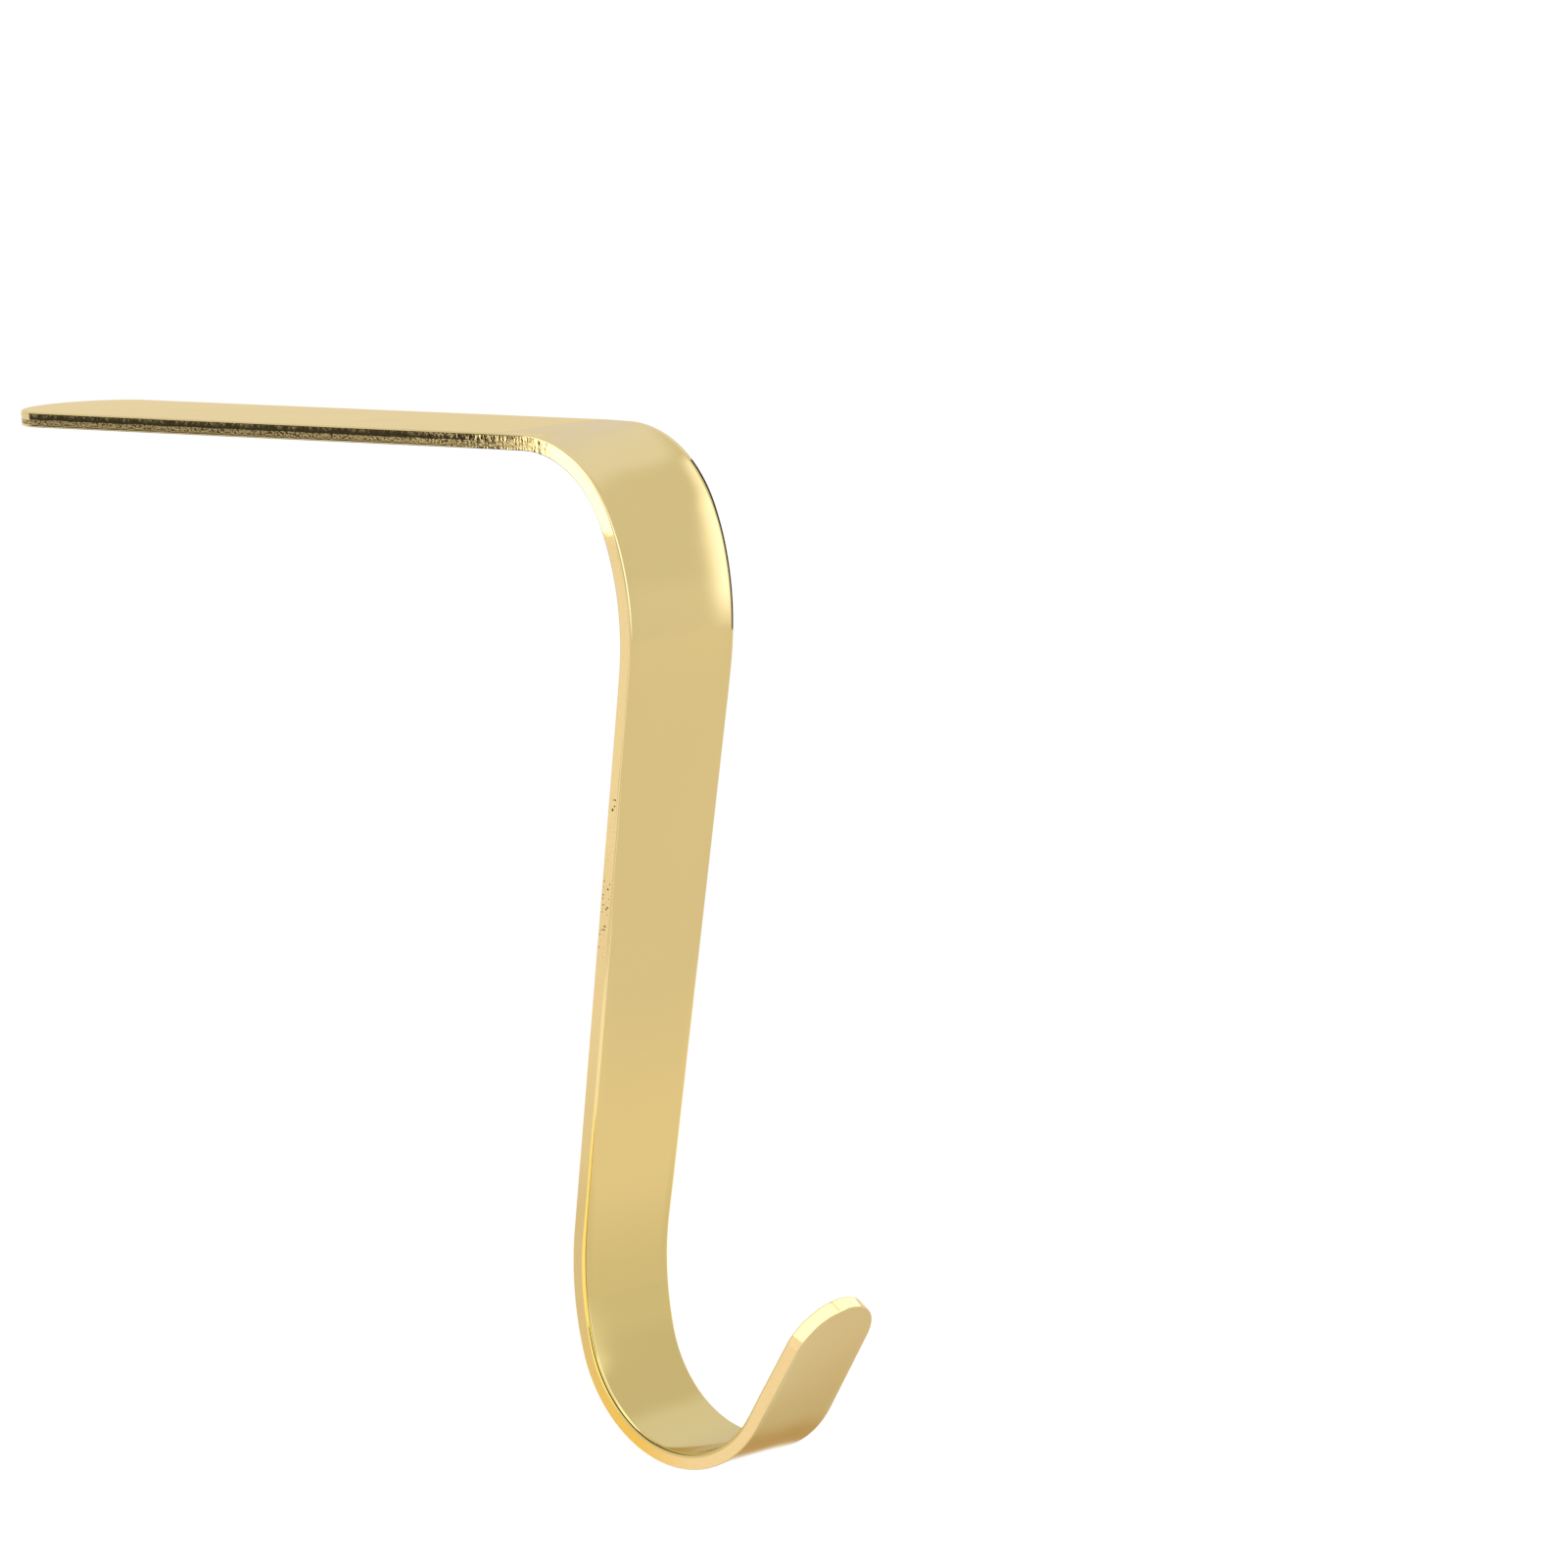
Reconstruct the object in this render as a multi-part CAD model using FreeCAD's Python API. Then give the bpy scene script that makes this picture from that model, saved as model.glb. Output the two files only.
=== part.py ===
import FreeCAD, Part
import math
import os
from FreeCAD import Vector

# Mantel stocking holder: one flat metal strip with round ends, bent into an arm, a stem and a hook.
# Millimetres. X runs along the arm towards the room, Y across the strip, Z up.
# The origin is on the arm's underside, in the middle of the flat that rests on the mantel.

# The strip
strip_thickness = 2.0
arm_width = 19.0            # the same all along the arm
tip_width = 12.5            # where the hook's round end begins
edge_radius = 0.45          # the rounded corner between a face and a flank

# The profile. Every bend's radius is measured to the middle of the thickness.
arm_length = 103.5          # from the arm's round end to the start of the shoulder
shoulder_radius = 14.7      # the tight bend over the mantel's front edge
shoulder_turn = 68.0        # degrees
waist_radius = 33.6         # the slack bend that leads into the stem
stem_lean = 11.4            # degrees that the stem leans back under the mantel
stem_length = 72.0
throat_radius = 36.4        # the slack start of the hook
throat_turn = 24.0          # degrees
cradle_radius = 15.6        # the round bottom that carries the stocking's loop
tip_rise = 55.0             # degrees above level at the hook's tip
tip_length = 18.4           # from the cradle to the end of the strip

# What follows from them
waist_turn = 90.0 + stem_lean - shoulder_turn
cradle_turn = 90.0 + stem_lean - throat_turn + tip_rise
arm_end_radius = arm_width / 2
tip_end_radius = tip_width / 2
taper_length = (
    shoulder_radius * math.radians(shoulder_turn)
    + waist_radius * math.radians(waist_turn)
    + stem_length
    + throat_radius * math.radians(throat_turn)
    + cradle_radius * math.radians(cradle_turn)
    + tip_length - tip_end_radius
)
across = Vector(0, 1, 0)


class Station:
    """A place on the strip's middle line: its point, its heading and how far along the taper it is."""

    def __init__(self, point, heading, distance):
        self.point = point
        self.heading = heading          # degrees below level
        self.distance = distance        # from the start of the shoulder

    def along(self):
        angle = math.radians(self.heading)
        return Vector(math.cos(angle), 0, -math.sin(angle))

    def face_normal(self):
        """Up from the arm's top face, and towards the room from the stem's front face."""
        angle = math.radians(self.heading)
        return Vector(math.sin(angle), 0, math.cos(angle))

    def half_width(self):
        share = max(self.distance, 0.0) / taper_length
        return (arm_width + (tip_width - arm_width) * share) / 2

    def straight_on(self, length):
        return Station(self.point + self.along() * length, self.heading, self.distance + length)

    def round_bend(self, radius, turn):
        """The station after a bend; a positive turn goes down and a negative one goes up."""
        arm = math.copysign(radius, turn)
        centre = self.point - self.face_normal() * arm
        end = Station(centre, self.heading + turn, self.distance + radius * math.radians(abs(turn)))
        end.point = centre + end.face_normal() * arm
        return end


def section(station):
    """The strip's closed cross-section there: a rectangle with rounded corners."""
    width = across * station.half_width()
    height = station.face_normal() * (strip_thickness / 2)
    inset_width = width - across * edge_radius
    inset_height = height - station.face_normal() * edge_radius
    to_arc_middle = edge_radius * math.sqrt(0.5)
    edges = []
    previous_end = None
    for side, level in ((1, 1), (-1, 1), (-1, -1), (1, -1)):
        corner_centre = station.point + inset_width * side + inset_height * level
        on_flank = corner_centre + across * (edge_radius * side)
        on_face = corner_centre + station.face_normal() * (edge_radius * level)
        middle = corner_centre + (across * side + station.face_normal() * level) * to_arc_middle
        first, last = (on_flank, on_face) if side == level else (on_face, on_flank)
        if previous_end is not None:
            edges.append(Part.LineSegment(previous_end, first).toShape())
        edges.append(Part.Arc(first, middle, last).toShape())
        previous_end = last
    edges.append(Part.LineSegment(previous_end, edges[0].firstVertex().Point).toShape())
    return Part.Wire(edges)


def half_section(station):
    """The far half of the cross-section, to be turned about the face normal into a round end."""
    half = station.half_width()
    thick = strip_thickness / 2
    to_arc_middle = edge_radius * (1 - math.sqrt(0.5))

    def place(width, height):
        return station.point + across * width + station.face_normal() * height

    edges = [
        Part.LineSegment(place(0, thick), place(half - edge_radius, thick)).toShape(),
        Part.Arc(
            place(half - edge_radius, thick),
            place(half - to_arc_middle, thick - to_arc_middle),
            place(half, thick - edge_radius),
        ).toShape(),
        Part.LineSegment(place(half, thick - edge_radius), place(half, edge_radius - thick)).toShape(),
        Part.Arc(
            place(half, edge_radius - thick),
            place(half - to_arc_middle, to_arc_middle - thick),
            place(half - edge_radius, -thick),
        ).toShape(),
        Part.LineSegment(place(half - edge_radius, -thick), place(0, -thick)).toShape(),
        Part.LineSegment(place(0, -thick), place(0, thick)).toShape(),
    ]
    return Part.Face(Part.Wire(edges))


def round_end(station, forward):
    """The half disc that closes the strip, with the same rounded corner round its rim."""
    turn = -180 if forward else 180
    return half_section(station).revolve(station.point, station.face_normal(), turn)


def plain_run(start, end):
    """A straight stretch of constant width."""
    return Part.Face(section(start)).extrude(end.point - start.point)


def tapered_run(start, end):
    """A straight stretch that narrows evenly."""
    return Part.makeLoft([section(start), section(end)], True, True)


def tapered_bend(start, radius, turn):
    """A bend that narrows evenly: the cross-section swept round an arc."""
    middle = start.round_bend(radius, turn / 2)
    end = start.round_bend(radius, turn)
    path = Part.Wire([Part.Arc(start.point, middle.point, end.point).toShape()])
    sweep = Part.BRepOffsetAPI.MakePipeShell(path)
    sweep.setBiNormalMode(across)
    sweep.add(section(start), False, False)
    sweep.add(section(end), False, False)
    sweep.build()
    sweep.makeSolid()
    return sweep.shape()


def hook_strip():
    """The whole holder: arm, shoulder, waist, stem, throat, cradle and tip as one solid."""
    middle_height = strip_thickness / 2
    shoulder = Station(Vector(arm_length / 2, 0, middle_height), 0.0, 0.0)
    arm_end = shoulder.straight_on(arm_end_radius - arm_length)
    waist = shoulder.round_bend(shoulder_radius, shoulder_turn)
    stem = waist.round_bend(waist_radius, waist_turn)
    throat = stem.straight_on(stem_length)
    cradle = throat.round_bend(throat_radius, -throat_turn)
    tip = cradle.round_bend(cradle_radius, -cradle_turn)
    tip_end = tip.straight_on(tip_length - tip_end_radius)

    stretches = [
        round_end(arm_end, False),
        plain_run(arm_end, shoulder),
        tapered_bend(shoulder, shoulder_radius, shoulder_turn),
        tapered_bend(waist, waist_radius, waist_turn),
        tapered_run(stem, throat),
        tapered_bend(throat, throat_radius, -throat_turn),
        tapered_bend(cradle, cradle_radius, -cradle_turn),
        tapered_run(tip, tip_end),
        round_end(tip_end, True),
    ]
    return stretches[0].multiFuse(stretches[1:]).Solids[0]


os.makedirs("parts", exist_ok=True)
hook_strip().exportStep("parts/hook_strip.step")
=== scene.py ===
import math

import bpy
import numpy as np
from mathutils import Matrix, Vector


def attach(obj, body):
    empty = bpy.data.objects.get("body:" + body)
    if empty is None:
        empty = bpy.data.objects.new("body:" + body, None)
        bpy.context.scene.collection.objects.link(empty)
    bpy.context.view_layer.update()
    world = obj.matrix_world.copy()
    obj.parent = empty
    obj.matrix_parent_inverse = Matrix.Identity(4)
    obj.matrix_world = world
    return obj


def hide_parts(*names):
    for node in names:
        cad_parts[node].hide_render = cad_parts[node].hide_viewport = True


# Mantel stocking holder: one flat strip with round ends, bent into an arm, a stem and a hook.
# Metres, in the row frame: X along the arm towards the room, Y across the strip, Z up.

MM = 0.001
RIGHT_ANGLE = math.pi / 2

# The strip and its profile. Every bend's radius is measured to the middle of the thickness.
STRIP_THICKNESS = 2.0 * MM
ARM_WIDTH = 19.0 * MM
TIP_WIDTH = 12.5 * MM
ARM_LENGTH = 103.5 * MM
SHOULDER_RADIUS = 14.7 * MM
SHOULDER_TURN = math.radians(68.0)
WAIST_RADIUS = 33.6 * MM
STEM_LEAN = math.radians(11.4)
STEM_LENGTH = 72.0 * MM
THROAT_RADIUS = 36.4 * MM
THROAT_TURN = math.radians(24.0)
CRADLE_RADIUS = 15.6 * MM
TIP_RISE = math.radians(55.0)
TIP_LENGTH = 18.4 * MM
WAIST_TURN = RIGHT_ANGLE + STEM_LEAN - SHOULDER_TURN
CRADLE_TURN = RIGHT_ANGLE + STEM_LEAN - THROAT_TURN + TIP_RISE

# How blanking and bending left the strip
ROLL_WIDTH = 0.45 * MM          # the front face rolls over into the cut flank
ROLL_DEPTH = 0.18 * MM
ROLL_STRETCH = 1.1              # how much wider the roll is at the tightest bend
ROLL_SINK = 1.9                 # how much deeper it is there on the far side
HOOK_ROLL_SINK = 0.75           # the share of that in the bends of the hook
BACK_CORNER = 0.12 * MM         # the back face's corner stays nearly sharp
CUPPING = 0.70 * MM             # how far the middle of the full-width strip sinks into the tightest bend
CUPPING_POWER = 3.0             # how sharply the sides rise from the cupped middle
CUPPING_GROWTH = 0.5            # on the shoulder it grows with this power of the bend
HOOK_CUPPING = 0.42             # the share of it in the bends of the hook
HOOK_CUPPING_GROWTH = 1.0
BEND_SPREAD = 5.0 * MM          # cupping and roll fade in over this much of the strip
FLANK_BREAK = 0.05 * MM         # the torn half of the flank stands back this far
BREAK_START = 0.10 * MM         # from this height above the middle of the thickness
BREAK_FADE = 0.25 * MM          # over this much of the thickness
BREAK_END = 10.0 * MM           # and fades out over this much of the arm before the shoulder

# The mesh
OUTLINE_STEP = 0.36 * MM
LEAST_STEPS = 4
FLANK_RINGS = 11
ROLL_RINGS = 11
CORNER_RINGS = 7
GUARD = 0.05 * MM               # a narrow row that keeps each flat face's shading flat
COLUMNS = 14                    # across each face

# The photograph's camera, round the middle of the arm's front edge
VIEW_AZIMUTH = 44.95
VIEW_ELEVATION = 8.10
VIEW_ROLL = -2.55
VIEW_DISTANCE = 816.0 * MM
VIEW_SIDE = -25.47 * MM
VIEW_RISE = 43.11 * MM
FOCAL_PIXELS = 6739.2
PICTURE_PIXELS = 1601
SENSOR_WIDTH = 36.0
CLIP_START = 0.01
CLIP_END = 200.0

# The studio's light by direction. Each range is of the direction's x, y or z part, from unlit to lit,
# and each level is a share of white.
WHITE = (1.0, 1.0, 1.0, 1.0)
ROOM_LEVEL = 0.94
LOW_LEVEL = 1.00                # under the horizon, beyond the floor's edge
HORIZON_Z = (0.0, 0.15)         # the change from low to room
FRONT_LEVEL = 1.10              # to the viewer's left
FRONT_X = (0.2, -0.2)
FRONT_Y = (0.0, -0.3)
ROOF_LEVEL = 2.0                # overhead, on the viewer's side
ROOF_X = (-0.06, 0.02)
ROOF_Y = (0.35, 0.15)
ROOF_Z = (0.80, 0.88)

# A tall light box on the right
RIGHT_BOX_LEVEL = 2.7
RIGHT_BOX_COLOUR = (0.66, 0.75, 1.0, 1.0)
RIGHT_BOX_X = (0.05, 0.25)
RIGHT_BOX_NEAR_Y = (0.05, 0.20)
RIGHT_BOX_FAR_Y = (0.66, 0.50)
RIGHT_BOX_LOW_Z = (-0.26, 0.04)
RIGHT_BOX_HIGH_Z = (0.98, 0.86)
RIGHT_BOX_SLANT = 0.10          # how much its far side leans towards the viewer at the top
RIGHT_BOX_SLANT_Z = (0.25, 0.75)

# Tinted light from behind the strip: cool from high up, warm from low down
BEHIND_X = (0.20, -0.10)
BEHIND_Y = (0.50, 0.60)
COOL = (0.96, 1.0, 1.14, 1.0)
COOL_LEVEL = 1.12
COOL_Z = (0.20, 0.62)
WARM = (0.96, 0.86, 0.59, 1.0)
WARM_X = (-0.45, -0.65)
WARM_Z = (0.28, 0.10)

FLOOR_COLOUR = (0.888, 0.853, 0.800, 1.0)
FLOOR_DROP = 0.45
FLOOR_RADIUS = 2.2
FLOOR_SIDES = 96

# Glows of the cards that only the strip's reflections show
DARK_GLOW = (0.05, 0.05, 0.05, 1.0)
BEND_GLOW = (3.0, 3.0, 3.0, 1.0)
TIP_GLOW = (1.7, 1.8, 1.95, 1.0)
WARM_GLOW = (0.76, 0.58, 0.34, 1.0)
FLOOR_GLOW = (0.97, 0.97, 0.97, 1.0)    # a soft card fades into this at its border

# Cards beside the strip: name, places along X, line of (y, z) points, glow
CARDS = (
    ("left_card", (-0.120, 0.0315),
     ((-0.030, 0.0025), (-0.030, -0.014), (-0.012, -0.030), (0.020, -0.034)), DARK_GLOW),
    ("bend_card", (0.0320, 0.0515), ((-0.030, 0.0025), (-0.030, -0.0135)), BEND_GLOW),
    ("near_tip_card", (0.0805, 0.0945), ((-0.0165, -0.055), (-0.0165, -0.1055)), TIP_GLOW),
    ("tip_card", (0.0875, 0.0955), ((0.0085, -0.075), (0.0085, -0.1025)), TIP_GLOW),
)

# A soft warm card low down behind the strip
WARM_CARD_X = (-0.10, -0.04, 0.03, 0.12)
WARM_CARD_LINE = ((0.08, -0.25), (0.14, -0.25), (0.24, -0.25), (0.30, -0.25))

# Dark cards that follow the profile beside the strip: name, distances along the strip,
# offsets from the front face, y
FLAGS = (
    ("far_flag", (113.0 * MM, 137.0 * MM), (-4.5 * MM, 3.0 * MM), 12.5 * MM),
    ("near_flag", (112.0 * MM, 130.0 * MM), (1.0 * MM, 4.0 * MM), -12.5 * MM),
    ("hook_flag", (226.0 * MM, 239.0 * MM), (1.0 * MM, 6.0 * MM), -12.5 * MM),
)
FLAG_STEPS = 16

# The plating's colours, with painted light, shade and reflections laid into some of them
FACE_DARK = (0.672, 0.526, 0.232, 1.0)
FACE_LIGHT = (0.708, 0.554, 0.248, 1.0)
# Painted light and shade along the faces: the low stem lighter, the hook's inside darker, the tip's back
# darker low down and lighter high up
LOW_STEM_LIT = (0.717, 0.544, 0.226, 1.0)
HOOK_INSIDE_SHADE = (0.610, 0.478, 0.188, 1.0)
TIP_BACK_SHADED = (0.560, 0.415, 0.150, 1.0)
TIP_BACK_LIT = (0.700, 0.545, 0.262, 1.0)
# The cut flank's colour, and bands of painted light and shade along it, with a painted reflection of the gold
# at the cradle's bottom
CUT_COLOUR = (0.75, 0.575, 0.265, 1.0)
CUT_STEM = (0.805, 0.613, 0.297, 1.0)
CUT_LOW = (0.680, 0.510, 0.225, 1.0)
CUT_BOTTOM = (0.870, 0.545, 0.100, 1.0)
CUT_TIP = (0.885, 0.655, 0.315, 1.0)
# A painted highlight on the hook's front corner, turning into a painted yellow reflection of the gold
CORNER_HIGHLIGHT = (0.86, 0.68, 0.33, 1.0)
CORNER_YELLOW_REFLECTION = (0.98, 0.74, 0.19, 1.0)
LINE_COLOUR = (0.50, 0.38, 0.17, 1.0)
PIT_COLOUR = (0.20, 0.14, 0.06, 1.0)
# The nicks' own dark, also used for painted dark reflections in streaks where the shoulder begins
NICK_AND_DARK_STREAK_COLOUR = (0.16, 0.11, 0.05, 1.0)
EDGE_TINT = (0.95, 0.90, 0.80, 1.0)

# Where the colours change. "run" is the distance along the outline from the arm's round end, and "rim" goes
# through the thickness, from 0 on the front face to 1 on the back face.
STEM_SHARE = 0.955              # painted shade: the stem is a little darker than the arm and the bend
STEM_RUN = (0.125, 0.145)
LOW_STEM_RUN = (0.180, 0.200)
HOOK_RUN = (0.205, 0.220)
BACK_RIM = (0.93, 0.97)
TIP_RUN = (0.245, 0.258)
TIP_BACK_RUN = (0.258, 0.280)
CUT_BANDS = (                   # painted light and shade on the cut flank, each from where it begins to where it is full
    ((0.124, 0.136), CUT_STEM),
    ((0.188, 0.204), CUT_COLOUR),
    ((0.206, 0.216), CUT_LOW),
    ((0.226, 0.244), CUT_BOTTOM),
    ((0.246, 0.258), CUT_TIP),
)
CORNER_RUN = (0.190, 0.235)     # the painted highlight on the hook's front corner
CORNER_RUN_SOFT = 0.012
CORNER_RIM_START = 0.02
# where the corner's painted highlight turns into a painted yellow reflection of the gold
YELLOW_RUN = (0.196, 0.210)
TEAR_RUN = (0.122, 0.158)       # the fine line on the bend's flank
TEAR_RUN_SOFT = 0.010

# The cut flank, with its sheared half next to the front face and its torn half behind that
FLANK_RIM = (0.15, 0.95)
RIM_SOFT = 0.02
ARM_RUN = (0.114, 0.100)        # from past the arm to on it
SHEAR_BEND = ((0.100, 0.125), (0.52, 0.24))     # how deep the sheared half goes, along the run
SHEAR_STEM = ((0.155, 0.200), (0.0, 0.35))      # and what the stem adds to that
WANDER_CELLS = (260.0, 60.0)    # cells to a metre, along the run and across the strip
WANDER_REACH = 0.12
RAGGED_CELLS = (3600.0, 100.0)
RAGGED_DEPTH = 7.0              # another slice of the noise than the wander's
RAGGED_REACH = 0.16
TORN_START = (-0.015, 0.02)     # past the end of the sheared half
TORN_RIM_END = (0.86, 0.80)
TEAR_LINE = (-0.008, 0.012)     # the line between the halves
TEAR_SHOWS = (0.40, 0.60)

# Its streaks, grain, beads and dull patches: cells along the run, through the thickness and across the strip
STREAK_CELLS = (1900.0, 1.4, 100.0)
GRAIN_CELLS = (3200.0, 8.0, 100.0)
DULL_CELLS = (1500.0, 1.6, 100.0)
DULL_SHOWS = (0.40, 0.66)
BEAD_CELLS = (3000.0, 5.5)
BEAD_PUSH = 2.0                 # how far the grain pushes the beads about
BEAD_EDGE = (0.70, 0.15)
STRETCH_RUN = (0.094, 0.111)    # where the shoulder stretches the flank
STRETCH_SOFT = 0.005
# Painted dark reflection: dark streaks across the flank where the shoulder begins
DARK_STREAK_RUN = (0.098, 0.107)
DARK_STREAK_SOFT = 0.004
DARK_STREAK_SHOWS = (0.47, 0.38)

# Two clusters of small nicks across the stem's near flank
NICK_CELLS = (1500.0, 1.6)
NICK_EDGE = (0.20, 0.13)
NICK_SIDE_Y = (0.001, -0.001)
ROW_RUN = (0.1610, 0.1645)
ROW_SOFT = 0.0008
ROW_LINE = ((0.1595, 0.1655), (0.45, 0.62))     # the upper cluster is a slanting row
ROW_HALF = (0.16, 0.10)
PATCH_RUN = (0.1730, 0.1795)
PATCH_RUN_SOFT = 0.0030
PATCH_RIM = (0.30, 0.85)
PATCH_RIM_SOFT = 0.04
PATCH_CELLS = (420.0, 2.5)
PATCH_DEPTH = 4.0
PATCH_SHOWS = (0.44, 0.52)

# Colour, roughness and relief of the plating
MOTTLE_CELLS = 45.0
GRAIN_SHOWS = (0.35, 0.65)
GRAIN_SHARE = 0.12
PIT_SHOWS = (0.55, 0.10)
POLISH = 0.075
MOTTLE_ROUGHNESS = 0.03
TORN_ROUGHNESS = 0.28
DULL_ROUGHNESS = ((0.45, 0.15), (0.12, 0.30))   # duller near the front face
SWELL_CELLS = 110.0
SWELL_HEIGHT = 0.03 * MM
STREAK_HEIGHT = 0.05 * MM
STREAK_STRETCH = (0.6, 4.0)     # streaks stand out where the flank is stretched
STREAK_END = ((0.118, 0.110), (0.12, 1.0))      # and are faint past the shoulder's start
RUBBLE_HEIGHT = 0.14 * MM


def smooth(share):
    """An even change from 0 to 1."""
    share = np.clip(share, 0.0, 1.0)
    return share * share * (3 - 2 * share)


class Profile:
    """The strip's middle line in its plane of bending, by distance along it from the arm's round end."""

    def __init__(self):
        stretches = (
            (ARM_LENGTH, 0.0),
            (SHOULDER_RADIUS * SHOULDER_TURN, SHOULDER_TURN),
            (WAIST_RADIUS * WAIST_TURN, WAIST_TURN),
            (STEM_LENGTH, 0.0),
            (THROAT_RADIUS * THROAT_TURN, -THROAT_TURN),
            (CRADLE_RADIUS * CRADLE_TURN, -CRADLE_TURN),
            (TIP_LENGTH, 0.0),
        )
        self.starts = np.array([0.0] + list(np.cumsum([length for length, _ in stretches])))
        self.bends = np.array([turn / length for length, turn in stretches])
        self.headings = np.array([0.0] + list(np.cumsum([turn for _, turn in stretches])))
        self.x = [-ARM_LENGTH / 2]
        self.z = [STRIP_THICKNESS / 2]
        for k in range(len(stretches)):
            x, z, _ = self._advance(k, self.starts[k + 1])
            self.x.append(float(x))
            self.z.append(float(z))
        self.length = float(self.starts[-1])

    def _advance(self, k, distance):
        """Point and heading on stretch k."""
        gone = distance - self.starts[k]
        first = self.headings[k]
        heading = first + self.bends[k] * gone
        if self.bends[k] == 0.0:
            return self.x[k] + gone * np.cos(first), self.z[k] - gone * np.sin(first), heading
        x = self.x[k] + (np.sin(heading) - np.sin(first)) / self.bends[k]
        z = self.z[k] + (np.cos(heading) - np.cos(first)) / self.bends[k]
        return x, z, heading

    def at(self, distance):
        """x, z and heading for an array of distances."""
        x, z, heading = (np.zeros_like(distance) for _ in range(3))
        stretch = np.searchsorted(self.starts, distance, side="right") - 1
        stretch = np.clip(stretch, 0, len(self.bends) - 1)
        for k in range(len(self.bends)):
            there = stretch == k
            x[there], z[there], heading[there] = self._advance(k, distance[there])
        return x, z, heading

    def tightness(self, distance):
        """The bend at each distance as a share of the shoulder's, smoothed; below 0 where it bends up."""
        total = np.zeros_like(distance)
        for k, bend in enumerate(self.bends):
            rise = smooth((distance - self.starts[k] + BEND_SPREAD) / (2 * BEND_SPREAD))
            fall = smooth((distance - self.starts[k + 1] + BEND_SPREAD) / (2 * BEND_SPREAD))
            total += bend * (rise - fall)
        return total * SHOULDER_RADIUS


def half_outline(length):
    """One side of the flat blank, from the arm's end to the tip's, in rows: distance, half width and the
    outward normal's parts along and across the strip."""
    arm_radius = ARM_WIDTH / 2
    tip_radius = TIP_WIDTH / 2
    taper_end = length - tip_radius
    taper_slope = (arm_radius - tip_radius) / (taper_end - ARM_LENGTH)
    tilt = math.hypot(taper_slope, 1.0)

    def stops(start, end, size=1.0):
        """Even stops; size is the radius where start and end are angles."""
        steps = max(LEAST_STEPS, int(round((end - start) * size / OUTLINE_STEP)))
        return np.linspace(start, end, steps + 1)

    rows = []
    for angle in stops(0, RIGHT_ANGLE, arm_radius):
        along, across = math.cos(angle), math.sin(angle)
        rows.append((arm_radius * (1 - along), arm_radius * across, -along, across))
    for distance in stops(arm_radius, ARM_LENGTH)[1:]:
        rows.append((distance, arm_radius, 0.0, 1.0))
    for distance in stops(ARM_LENGTH, taper_end)[1:]:
        half_width = arm_radius - taper_slope * (distance - ARM_LENGTH)
        rows.append((distance, half_width, taper_slope / tilt, 1.0 / tilt))
    for angle in stops(0, RIGHT_ANGLE, tip_radius)[1:]:
        along, across = math.sin(angle), math.cos(angle)
        rows.append((taper_end + tip_radius * along, tip_radius * across, along, across))
    return np.array(rows)


def flank_section():
    """The flank's profile from the front face's edge to the back's: insets, and heights above the middle."""
    half = STRIP_THICKNESS / 2
    flank_top = half - ROLL_DEPTH
    flank_foot = BACK_CORNER - half
    rows = [(ROLL_WIDTH + GUARD, half)]
    for angle in np.linspace(0, RIGHT_ANGLE, ROLL_RINGS + 1):
        rows.append((ROLL_WIDTH * (1 - math.sin(angle)), half - ROLL_DEPTH * (1 - math.cos(angle))))
    for height in np.linspace(flank_top - GUARD, flank_foot + GUARD, FLANK_RINGS):
        rows.append((0.0, height))
    rows.append((0.0, flank_foot))
    for angle in np.linspace(0, RIGHT_ANGLE, CORNER_RINGS + 1)[1:]:
        rows.append((BACK_CORNER * (1 - math.cos(angle)), flank_foot - BACK_CORNER * math.sin(angle)))
    rows.append((BACK_CORNER + GUARD, -half))
    return rows


def sunk(height, deeper):
    """The height on the flank's profile where the roll is deeper by a factor."""
    front = STRIP_THICKNESS / 2
    drop = front - height
    corner_drop = STRIP_THICKNESS - BACK_CORNER
    if drop <= ROLL_DEPTH:
        return front - drop * deeper
    if drop >= corner_drop:
        return np.full_like(deeper, height)
    share = (drop - ROLL_DEPTH) / (corner_drop - ROLL_DEPTH)
    return front - (ROLL_DEPTH * deeper + share * (corner_drop - ROLL_DEPTH * deeper))


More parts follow.
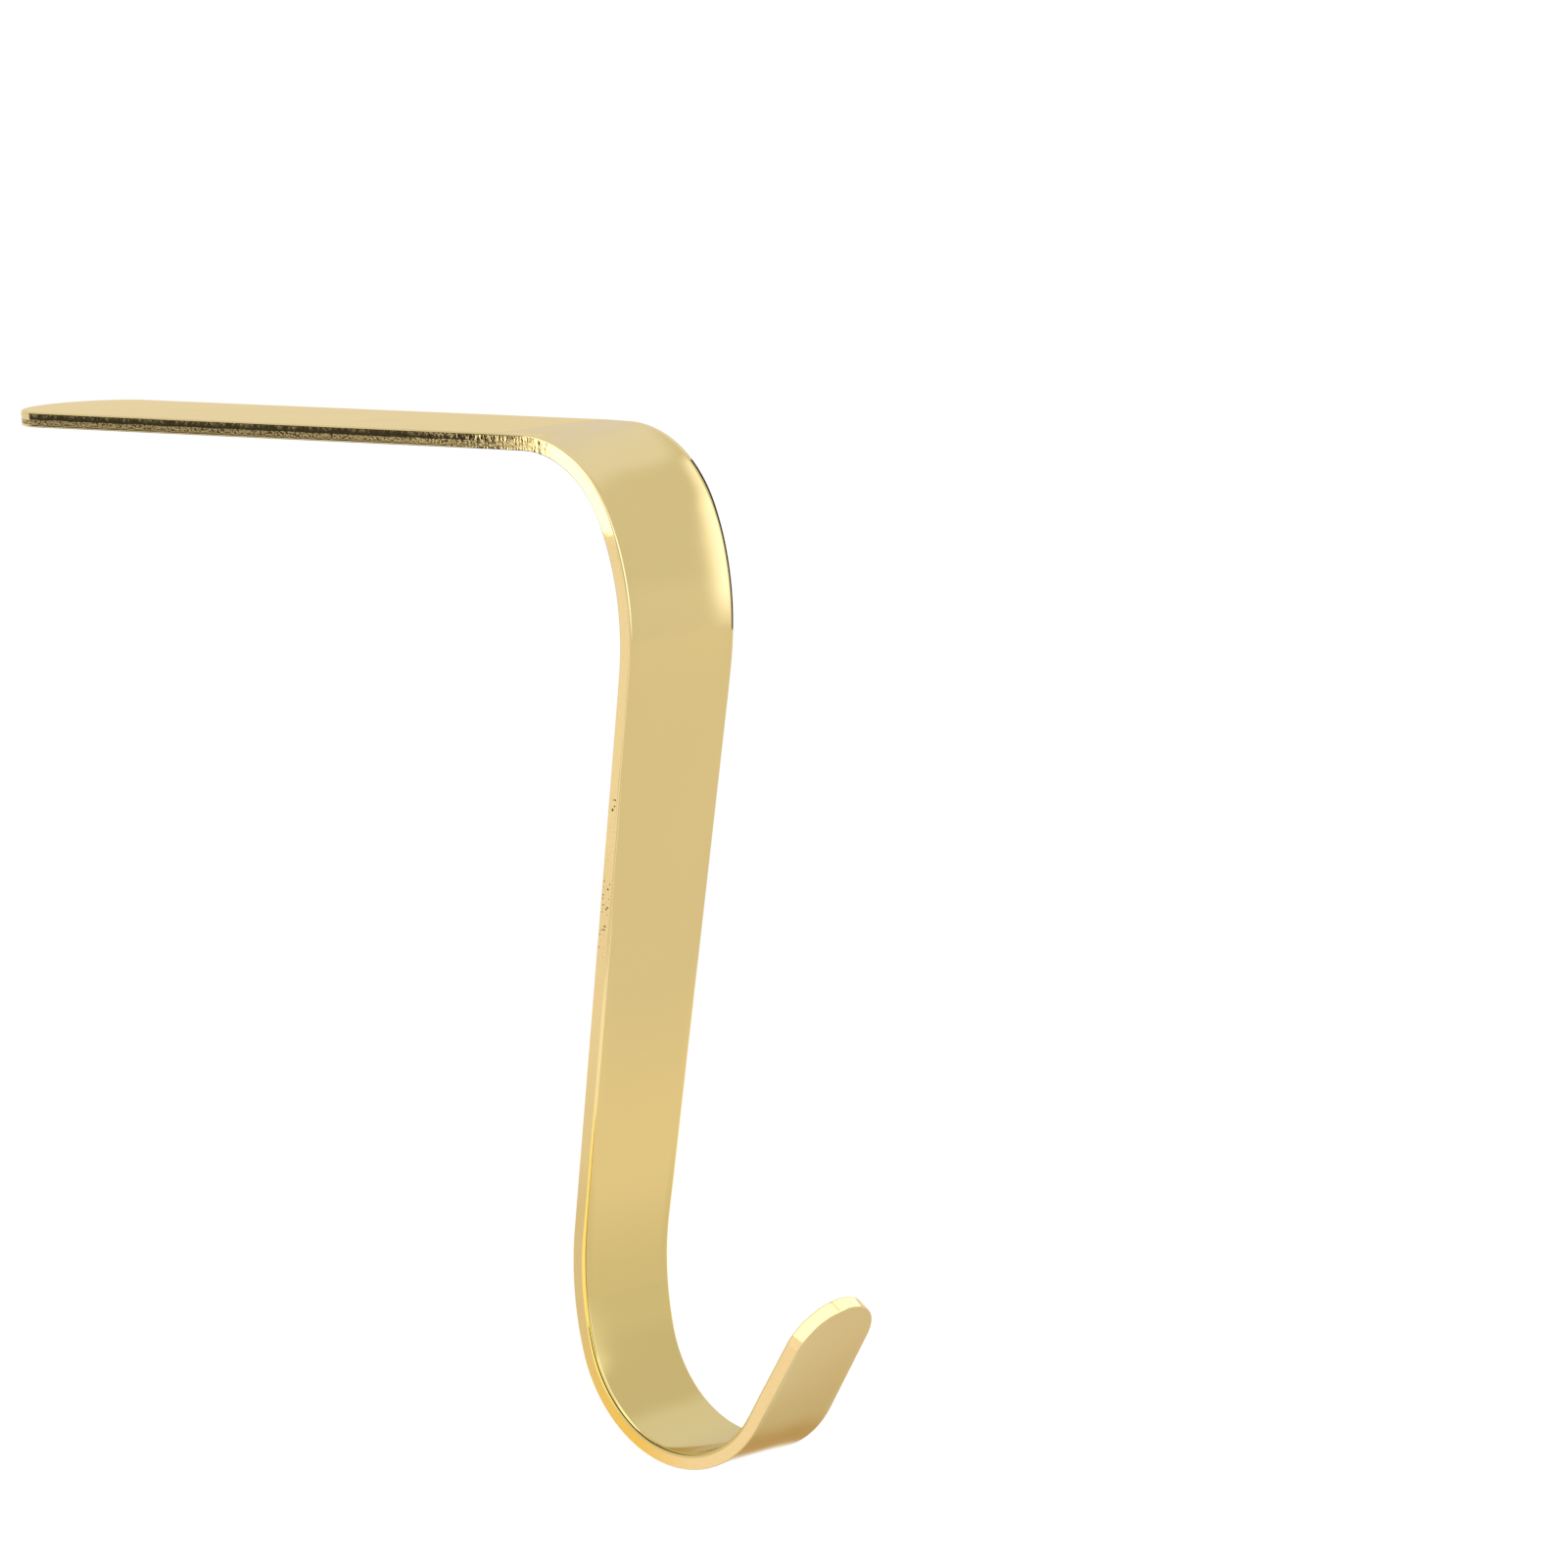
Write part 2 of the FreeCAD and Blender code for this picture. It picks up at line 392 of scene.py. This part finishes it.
class StripMesh:
    """The strip's mesh: rings of points round the flank, then a grid of points on each face."""

    def __init__(self):
        self.profile = Profile()
        self.side = half_outline(self.profile.length)
        self.rings = flank_section()
        self.points = []
        self.rim = []
        self.run = []
        self.faces = []
        self.total = 0
        self.loop = 2 * len(self.side) - 2
        self.add_flank()
        self.add_face(0, front=True)
        self.add_face(len(self.rings) - 1, front=False)

    def bent(self, distance, across, height):
        """Takes points of the flat blank to their place on the bent strip."""
        profile = self.profile
        x, z, heading = profile.at(distance)
        tightness = profile.tightness(distance)
        half_width = np.interp(distance, [0, ARM_LENGTH, profile.length],
                               [ARM_WIDTH / 2, ARM_WIDTH / 2, TIP_WIDTH / 2])
        share = np.clip(np.abs(across) / half_width, 0, 1)
        in_hook = tightness < 0
        strength = np.abs(tightness) ** np.where(in_hook, HOOK_CUPPING_GROWTH, CUPPING_GROWTH)
        depth = CUPPING * np.where(in_hook, -HOOK_CUPPING, 1.0) * strength
        depth = depth * (half_width / (ARM_WIDTH / 2)) ** 2
        height = height - depth * (1 - share ** CUPPING_POWER)
        return np.stack([x + height * np.sin(heading), across, z + height * np.cos(heading)], -1)

    def add_points(self, points, rim, run):
        self.points.append(points)
        self.rim.append(np.full(len(points), rim))
        self.run.append(run)
        self.total += len(points)

    def add_flank(self):
        """The rings run along the near side to the tip and back along the far side."""
        count = len(self.side)
        rows = np.concatenate([np.arange(count), np.arange(count - 2, 0, -1)])
        sign = np.concatenate([-np.ones(count), np.ones(count - 2)])
        distance, half_width, normal_along, normal_across = self.side[rows].T
        across = half_width * sign
        normal_across = normal_across * sign
        lengths = np.hypot(np.diff(self.side[:, 0]), np.diff(self.side[:, 1]))
        run = np.concatenate([[0], np.cumsum(lengths)])[rows]
        tightness = self.profile.tightness(distance)
        in_bend = np.clip(tightness, 0, 1)
        in_hook = np.clip(-tightness, 0, 1)
        deeper = 1 + ROLL_SINK * (in_bend * (sign > 0) + HOOK_ROLL_SINK * in_hook)
        on_arm = smooth((ARM_LENGTH - run) / BREAK_END)
        for inset, height in self.rings:
            shift = inset * (1 + ROLL_STRETCH * in_bend * (height > 0))
            if inset == 0.0:
                torn = smooth((BREAK_START - height) / BREAK_FADE)
                shift = shift + torn * FLANK_BREAK * on_arm
            points = self.bent(distance - shift * normal_along, across - shift * normal_across,
                               sunk(height, deeper))
            self.add_points(points, 0.5 - height / STRIP_THICKNESS, run)
        for k in range(len(self.rings) - 1):
            ring = k * self.loop
            next_ring = ring + self.loop
            for i in range(self.loop):
                j = (i + 1) % self.loop
                self.faces.append((ring + i, next_ring + i, next_ring + j, ring + j))

    def add_face(self, ring, front):
        """One face of the strip, in columns between the near and the far side of a ring."""
        inset, height = self.rings[ring]
        inner = self.side[1:-1]
        if front:
            inset = inset * (1 + ROLL_STRETCH * np.clip(self.profile.tightness(inner[:, 0]), 0, 1))
        distance = inner[:, 0] - inset * inner[:, 2]
        half_width = inner[:, 1] - inset * inner[:, 3]
        shares = np.linspace(-1, 1, COLUMNS + 1)[1:-1]
        grid_distance = np.repeat(distance, len(shares))
        grid_across = np.outer(half_width, shares).ravel()
        first_point = self.total
        self.add_points(self.bent(grid_distance, grid_across, np.full(len(grid_distance), height)),
                        0.0 if front else 1.0, grid_distance)

        near_side = ring * self.loop
        far_side = near_side + self.loop
        lines = []
        for n in range(len(inner)):
            start = first_point + n * len(shares)
            lines.append([near_side + n + 1, *range(start, start + len(shares)), far_side - n - 1])
        made = []
        for left, right in zip(lines, lines[1:]):
            for m in range(COLUMNS):
                made.append((left[m], right[m], right[m + 1], left[m + 1]))
        arm_end = near_side
        tip_end = near_side + len(self.side) - 1
        for m in range(COLUMNS):
            made.append((arm_end, lines[0][m], lines[0][m + 1]))
            made.append((tip_end, lines[-1][m + 1], lines[-1][m]))
        self.faces.extend(face if front else face[::-1] for face in made)


def make_strip(material):
    strip_mesh = StripMesh()
    mesh = bpy.data.meshes.new("gold_strip")
    mesh.from_pydata(np.concatenate(strip_mesh.points).tolist(), [], strip_mesh.faces)
    mesh.validate()
    mesh.shade_smooth()
    for name, values in (("rim", strip_mesh.rim), ("run", strip_mesh.run)):
        attribute = mesh.attributes.new(name, "FLOAT", "POINT")
        attribute.data.foreach_set("value", np.concatenate(values).astype(np.float32))
    mesh.materials.append(material)
    return add_object("gold_strip", mesh)


def add_object(name, data):
    made = bpy.data.objects.new(name, data)
    bpy.context.scene.collection.objects.link(made)
    return made


class Shading:
    """Short names for the nodes of one material or world."""

    def __init__(self, tree):
        self.tree = tree

    def add(self, kind, **settings):
        node = self.tree.nodes.new(kind)
        for name, value in settings.items():
            setattr(node, name, value)
        return node

    def put(self, socket, value):
        if isinstance(value, bpy.types.NodeSocket):
            self.tree.links.new(value, socket)
        else:
            socket.default_value = value

    def attribute(self, name):
        return self.add("ShaderNodeAttribute", attribute_name=name).outputs["Fac"]

    def coordinates(self, kind):
        """The x, y and z parts of a texture coordinate."""
        split = self.add("ShaderNodeSeparateXYZ")
        self.put(split.inputs[0], self.add("ShaderNodeTexCoord").outputs[kind])
        return split.outputs

    def maths(self, operation, *values):
        node = self.add("ShaderNodeMath", operation=operation)
        for socket, value in zip(node.inputs, values):
            self.put(socket, value)
        return node.outputs[0]

    def product(self, first, *others):
        for other in others:
            first = self.maths("MULTIPLY", first, other)
        return first

    def centred(self, value):
        """A value from 0 to 1 brought to lie round 0."""
        return self.maths("SUBTRACT", value, 0.5)

    def step(self, value, places, results=(0.0, 1.0)):
        """A smooth change between the results as the value goes from the first place to the second."""
        node = self.add("ShaderNodeMapRange", interpolation_type="SMOOTHSTEP")
        settings = {"Value": value, "From Min": places[0], "From Max": places[1],
                    "To Min": results[0], "To Max": results[1]}
        for name, given in settings.items():
            self.put(node.inputs[name], given)
        return node.outputs["Result"]

    def window(self, value, places, soft):
        """1 between the places, 0 outside, with soft sides."""
        start, end = places
        return self.product(self.step(value, (start - soft, start)), self.step(value, (end + soft, end)))

    def place(self, values, cells):
        """A point from its parts, each multiplied by its cells to a metre or to the thickness."""
        node = self.add("ShaderNodeCombineXYZ")
        for socket, value, scale in zip(node.inputs, values, cells):
            self.put(socket, self.product(value, scale))
        return node

    def noise(self, values, cells, depth=None, detail=2.0, roughness=0.5):
        """Noise over two or three parts; a depth picks the third part of a flat one."""
        place = self.place(values, cells)
        if depth is not None:
            place.inputs[2].default_value = depth
        node = self.add("ShaderNodeTexNoise")
        self.put(node.inputs["Vector"], place.outputs[0])
        node.inputs["Scale"].default_value = 1.0
        node.inputs["Detail"].default_value = detail
        node.inputs["Roughness"].default_value = roughness
        return node.outputs["Fac"]

    def cells(self, place):
        """The distance to the middle of each cell of a flat pattern."""
        node = self.add("ShaderNodeTexVoronoi", voronoi_dimensions="2D", feature="F1")
        node.inputs["Scale"].default_value = 1.0
        self.put(node.inputs["Vector"], place.outputs[0])
        return node.outputs["Distance"]

    def mix(self, share, first, second):
        """A mix of two colours. The node has sockets for each type of data; these are the colours'."""
        node = self.add("ShaderNodeMix", data_type="RGBA")
        self.put(node.inputs[0], share)
        self.put(node.inputs[6], first)
        self.put(node.inputs[7], second)
        return node.outputs[2]

    def bump(self, height, distance, normal=None):
        node = self.add("ShaderNodeBump")
        node.inputs["Distance"].default_value = distance
        self.put(node.inputs["Height"], height)
        if normal is not None:
            self.put(node.inputs["Normal"], normal)
        return node.outputs["Normal"]


class Plating(Shading):
    """Polished gold plating: calm on the rolled faces, streaked and torn on the cut flank."""

    def __init__(self):
        self.material = bpy.data.materials.new("gold_plating")
        self.material.use_nodes = True
        super().__init__(self.material.node_tree)
        self.rim = self.attribute("rim")
        self.run = self.attribute("run")
        self.x, self.y, self.z = self.coordinates("Object")
        self.flank = self.window(self.rim, FLANK_RIM, RIM_SOFT)
        self.on_arm = self.step(self.run, ARM_RUN)
        self.make_tear()
        self.make_texture()
        shader = self.tree.nodes["Principled BSDF"]
        shader.inputs["Metallic"].default_value = 1.0
        shader.inputs["Specular Tint"].default_value = EDGE_TINT
        self.put(shader.inputs["Base Color"], self.colour())
        self.put(shader.inputs["Roughness"], self.roughness())
        self.put(shader.inputs["Normal"], self.relief())

    def make_tear(self):
        """The sheared half of the flank ends in a line that wanders along the strip; the rest is torn."""
        wander = self.noise((self.run, self.y), WANDER_CELLS, detail=3.0)
        ragged = self.noise((self.run, self.y), RAGGED_CELLS, depth=RAGGED_DEPTH)
        shear_end = self.maths("ADD", self.step(self.run, *SHEAR_BEND), self.step(self.run, *SHEAR_STEM))
        shear_end = self.maths("ADD", shear_end, self.product(self.centred(wander), WANDER_REACH))
        shear_end = self.maths("ADD", shear_end, self.product(self.centred(ragged), RAGGED_REACH))
        past = self.maths("SUBTRACT", self.rim, shear_end)
        self.torn = self.product(self.step(past, TORN_START), self.step(self.rim, TORN_RIM_END), self.on_arm)
        tear = self.product(self.window(past, TEAR_LINE, RIM_SOFT), self.step(wander, TEAR_SHOWS))
        self.tear_line = self.product(tear, self.flank, self.window(self.run, TEAR_RUN, TEAR_RUN_SOFT))

    def make_texture(self):
        """Streaks through the thickness, a fine grain, and beads on the torn half."""
        place = (self.run, self.rim, self.y)
        self.streaks = self.noise(place, STREAK_CELLS, roughness=0.6)
        self.grain = self.noise(place, GRAIN_CELLS, detail=3.0, roughness=0.65)
        self.mottle = self.noise((self.x, self.y, self.z), (MOTTLE_CELLS,) * 3, detail=3.0)
        dull = self.noise(place, DULL_CELLS, detail=4.0, roughness=0.7)
        self.dull = self.product(self.step(dull, DULL_SHOWS), self.product(self.flank, self.on_arm))
        beads = self.add("ShaderNodeCombineXYZ")
        along = self.product(self.run, BEAD_CELLS[0])
        through = self.product(self.rim, BEAD_CELLS[1])
        self.put(beads.inputs[0], self.maths("ADD", along, self.product(self.grain, BEAD_PUSH)))
        self.put(beads.inputs[1], self.maths("ADD", through, self.grain))
        self.bead = self.step(self.cells(beads), BEAD_EDGE)

    def nicks(self):
        """Small nicks on the near flank: a slanting row of them, and a patch further down."""
        nick = self.step(self.cells(self.place((self.run, self.rim), NICK_CELLS)), NICK_EDGE)
        off_row = self.maths("ABSOLUTE", self.maths("SUBTRACT", self.rim, self.step(self.run, *ROW_LINE)))
        row = self.product(self.window(self.run, ROW_RUN, ROW_SOFT), self.step(off_row, ROW_HALF))
        patch = self.product(self.window(self.run, PATCH_RUN, PATCH_RUN_SOFT),
                             self.window(self.rim, PATCH_RIM, PATCH_RIM_SOFT))
        spread = self.noise((self.run, self.rim), PATCH_CELLS, depth=PATCH_DEPTH)
        patch = self.product(patch, self.step(spread, PATCH_SHOWS))
        return self.product(nick, self.step(self.y, NICK_SIDE_Y), self.maths("MAXIMUM", row, patch))

    def face_colour(self):
        face = self.mix(self.mottle, FACE_DARK, FACE_LIGHT)
        # Painted shade and light along the strip: a darker stem, a lighter low stem, a darker hook inside,
        # and the tip's back darker low down, lighter high up
        darker = self.add("ShaderNodeVectorMath", operation="SCALE")
        self.put(darker.inputs[0], face)
        self.put(darker.inputs["Scale"], self.step(self.run, STEM_RUN, (1.0, STEM_SHARE)))
        face = self.mix(self.step(self.run, LOW_STEM_RUN), darker.outputs[0], LOW_STEM_LIT)
        face = self.mix(self.step(self.run, HOOK_RUN), face, HOOK_INSIDE_SHADE)
        tip_back = self.mix(self.step(self.run, TIP_BACK_RUN), TIP_BACK_SHADED, TIP_BACK_LIT)
        on_tip_back = self.product(self.step(self.rim, BACK_RIM), self.step(self.run, TIP_RUN))
        return self.mix(on_tip_back, face, tip_back)

    def cut_colour(self):
        cut = CUT_COLOUR
        # Bands of painted light and shade along the flank
        for places, band in CUT_BANDS:
            cut = self.mix(self.step(self.run, places), cut, band)
        cut = self.mix(self.step(self.grain, GRAIN_SHOWS, (0.0, GRAIN_SHARE)), cut, LINE_COLOUR)
        cut = self.mix(self.product(self.torn, self.step(self.bead, PIT_SHOWS)), cut, PIT_COLOUR)
        # Painted dark reflection in streaks across the flank where the shoulder begins
        painted_dark_streaks = self.product(self.window(self.run, DARK_STREAK_RUN, DARK_STREAK_SOFT),
                              self.step(self.streaks, DARK_STREAK_SHOWS))
        return self.mix(painted_dark_streaks, cut, NICK_AND_DARK_STREAK_COLOUR)

    def colour(self):
        colour = self.mix(self.flank, self.face_colour(), self.cut_colour())
        # A painted highlight on the hook's front corner, turning into a painted yellow reflection of the gold
        corner = self.product(self.window(self.rim, (CORNER_RIM_START, FLANK_RIM[0]), RIM_SOFT),
                              self.window(self.run, CORNER_RUN, CORNER_RUN_SOFT))
        corner_highlight = self.mix(self.step(self.run, YELLOW_RUN), CORNER_HIGHLIGHT, CORNER_YELLOW_REFLECTION)
        colour = self.mix(corner, colour, corner_highlight)
        colour = self.mix(self.tear_line, colour, LINE_COLOUR)
        return self.mix(self.nicks(), colour, NICK_AND_DARK_STREAK_COLOUR)

    def roughness(self):
        rough = self.maths("ADD", POLISH, self.product(self.mottle, MOTTLE_ROUGHNESS))
        rough = self.maths("ADD", rough, self.product(self.torn, TORN_ROUGHNESS))
        return self.maths("ADD", rough, self.product(self.dull, self.step(self.rim, *DULL_ROUGHNESS)))

    def relief(self):
        """A gentle swell on the faces, streaks on the flank, and beads and grain on its torn half."""
        swell = self.noise((self.x, self.y, self.z), (SWELL_CELLS,) * 3, detail=1.0)
        normal = self.bump(swell, SWELL_HEIGHT)
        stretch = self.window(self.run, STRETCH_RUN, STRETCH_SOFT)
        streaks = self.product(self.centred(self.streaks), self.flank,
                               self.step(stretch, (0.0, 1.0), STREAK_STRETCH),
                               self.step(self.run, *STREAK_END))
        normal = self.bump(streaks, STREAK_HEIGHT, normal)
        rubble = self.maths("ADD", self.centred(self.grain), self.centred(self.bead))
        return self.bump(self.product(rubble, self.torn), RUBBLE_HEIGHT, normal)


def make_world():
    """A soft white studio: light by direction, with bright and tinted sides that the metal mirrors."""
    world = bpy.data.worlds.new("studio")
    world.use_nodes = True
    background = world.node_tree.nodes["Background"]
    s = Shading(world.node_tree)
    x, y, z = s.coordinates("Generated")

    def level(below, share, value):
        """Moves the level towards a value by a share."""
        return s.maths("ADD", below, s.product(share, s.maths("SUBTRACT", value, below)))

    strength = s.step(z, HORIZON_Z, (LOW_LEVEL, ROOM_LEVEL))
    strength = level(strength, s.product(s.step(x, FRONT_X), s.step(y, FRONT_Y)), FRONT_LEVEL)
    roof = s.product(s.step(z, ROOF_Z), s.step(y, ROOF_Y), s.step(x, ROOF_X))
    strength = level(strength, roof, ROOF_LEVEL)

    slanted = s.maths("ADD", y, s.step(z, RIGHT_BOX_SLANT_Z, (0.0, RIGHT_BOX_SLANT)))
    right_box = s.product(s.step(z, RIGHT_BOX_LOW_Z), s.step(z, RIGHT_BOX_HIGH_Z),
                          s.step(y, RIGHT_BOX_NEAR_Y), s.step(slanted, RIGHT_BOX_FAR_Y),
                          s.step(x, RIGHT_BOX_X))
    strength = level(strength, right_box, RIGHT_BOX_LEVEL)

    behind = s.product(s.step(y, BEHIND_Y), s.step(x, BEHIND_X))
    cool = s.product(behind, s.step(z, COOL_Z))
    warm = s.product(behind, s.step(z, WARM_Z), s.step(x, WARM_X))
    strength = level(strength, cool, COOL_LEVEL)
    colour = s.mix(warm, WHITE, WARM)
    colour = s.mix(cool, colour, COOL)
    colour = s.mix(right_box, colour, RIGHT_BOX_COLOUR)

    # What the camera sees beyond the floor is plain white
    camera_ray = s.add("ShaderNodeLightPath").outputs["Is Camera Ray"]
    s.put(background.inputs["Strength"], level(strength, camera_ray, 1.0))
    s.put(background.inputs["Color"], s.mix(camera_ray, colour, WHITE))
    bpy.context.scene.world = world


def make_floor():
    """A round pale floor under the strip."""
    material = bpy.data.materials.new("floor")
    material.use_nodes = True
    shader = material.node_tree.nodes["Principled BSDF"]
    shader.inputs["Base Color"].default_value = FLOOR_COLOUR
    shader.inputs["Roughness"].default_value = 1.0
    shader.inputs["Specular IOR Level"].default_value = 0.0
    border = []
    for k in range(FLOOR_SIDES):
        angle = 2 * math.pi * k / FLOOR_SIDES
        border.append((FLOOR_RADIUS * math.cos(angle), FLOOR_RADIUS * math.sin(angle), -FLOOR_DROP))
    mesh = bpy.data.meshes.new("floor")
    mesh.from_pydata(border, [], [tuple(range(FLOOR_SIDES))])
    mesh.materials.append(material)
    add_object("floor", mesh)


def stage_card(name, points, faces, shares, glow):
    """A glowing card that only the strip's reflections show; a share of 0 fades it into the floor's light."""
    material = bpy.data.materials.new(name)
    material.use_nodes = True
    tree = material.node_tree
    tree.nodes.clear()
    s = Shading(tree)
    emission = s.add("ShaderNodeEmission")
    s.put(emission.inputs["Color"], s.mix(s.attribute("share"), FLOOR_GLOW, glow))
    emission.inputs["Strength"].default_value = 1.0
    tree.links.new(emission.outputs[0], s.add("ShaderNodeOutputMaterial").inputs["Surface"])
    mesh = bpy.data.meshes.new(name)
    mesh.from_pydata(points, [], faces)
    mesh.attributes.new("share", "FLOAT", "POINT").data.foreach_set("value", shares)
    mesh.materials.append(material)
    card = add_object(name, mesh)
    card.visible_camera = False
    card.visible_diffuse = False
    card.visible_shadow = False


def grid_faces(columns, rows):
    faces = []
    for k in range(rows - 1):
        for i in range(columns - 1):
            corner = k * columns + i
            faces.append((corner, corner + 1, corner + columns + 1, corner + columns))
    return faces


def make_card(name, x_places, line, glow, soft=False):
    """A card along X over a line of (y, z) points; a soft one fades at its border."""
    columns, rows = len(x_places), len(line)
    points = [(x, y, z) for y, z in line for x in x_places]
    shares = []
    for k in range(rows):
        for i in range(columns):
            on_border = k in (0, rows - 1) or i in (0, columns - 1)
            shares.append(0.0 if soft and on_border else 1.0)
    stage_card(name, points, grid_faces(columns, rows), shares, glow)


def make_flag(name, distances, offsets, y):
    """A dark card that follows the profile beside the strip."""
    x, z, heading = Profile().at(np.linspace(*distances, FLAG_STEPS))
    points = []
    for k in range(FLAG_STEPS):
        for offset in offsets:
            out = STRIP_THICKNESS / 2 + offset
            points.append((x[k] + out * math.sin(heading[k]), y, z[k] + out * math.cos(heading[k])))
    stage_card(name, points, grid_faces(len(offsets), FLAG_STEPS), [1.0] * len(points), DARK_GLOW)


def view_axes():
    """The camera's right, up and backward directions."""
    azimuth, elevation, roll = map(math.radians, (VIEW_AZIMUTH, VIEW_ELEVATION, VIEW_ROLL))
    back = Vector((math.sin(azimuth) * math.cos(elevation), -math.cos(azimuth) * math.cos(elevation),
                   math.sin(elevation)))
    level_right = Vector((math.cos(azimuth), math.sin(azimuth), 0.0))
    level_up = back.cross(level_right)
    right = math.cos(roll) * level_right + math.sin(roll) * level_up
    up = math.cos(roll) * level_up - math.sin(roll) * level_right
    return right, up, back


def make_camera():
    right, up, back = view_axes()
    aim = Vector((ARM_LENGTH / 2, 0.0, STRIP_THICKNESS / 2))
    place = aim - VIEW_SIDE * right - VIEW_RISE * up + VIEW_DISTANCE * back
    data = bpy.data.cameras.new("camera")
    data.sensor_width = SENSOR_WIDTH
    data.lens = FOCAL_PIXELS / PICTURE_PIXELS * SENSOR_WIDTH
    data.clip_start = CLIP_START
    data.clip_end = CLIP_END
    camera = add_object("camera", data)
    camera.matrix_world = Matrix.Translation(place) @ Matrix((right, up, back)).transposed().to_4x4()
    bpy.context.scene.camera = camera


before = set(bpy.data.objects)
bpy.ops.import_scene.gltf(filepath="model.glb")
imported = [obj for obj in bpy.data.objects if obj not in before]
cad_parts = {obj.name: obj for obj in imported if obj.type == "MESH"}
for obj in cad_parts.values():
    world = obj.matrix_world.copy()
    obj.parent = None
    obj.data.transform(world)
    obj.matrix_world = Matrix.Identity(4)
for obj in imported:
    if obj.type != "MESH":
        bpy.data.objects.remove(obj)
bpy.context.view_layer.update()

strip = make_strip(Plating().material)
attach(strip, "root")
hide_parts("hook_strip")

make_floor()
for card in CARDS:
    make_card(*card)
make_card("warm_card", WARM_CARD_X, WARM_CARD_LINE, WARM_GLOW, soft=True)
for flag in FLAGS:
    make_flag(*flag)
make_world()
make_camera()
bpy.context.scene.view_settings.view_transform = "Standard"
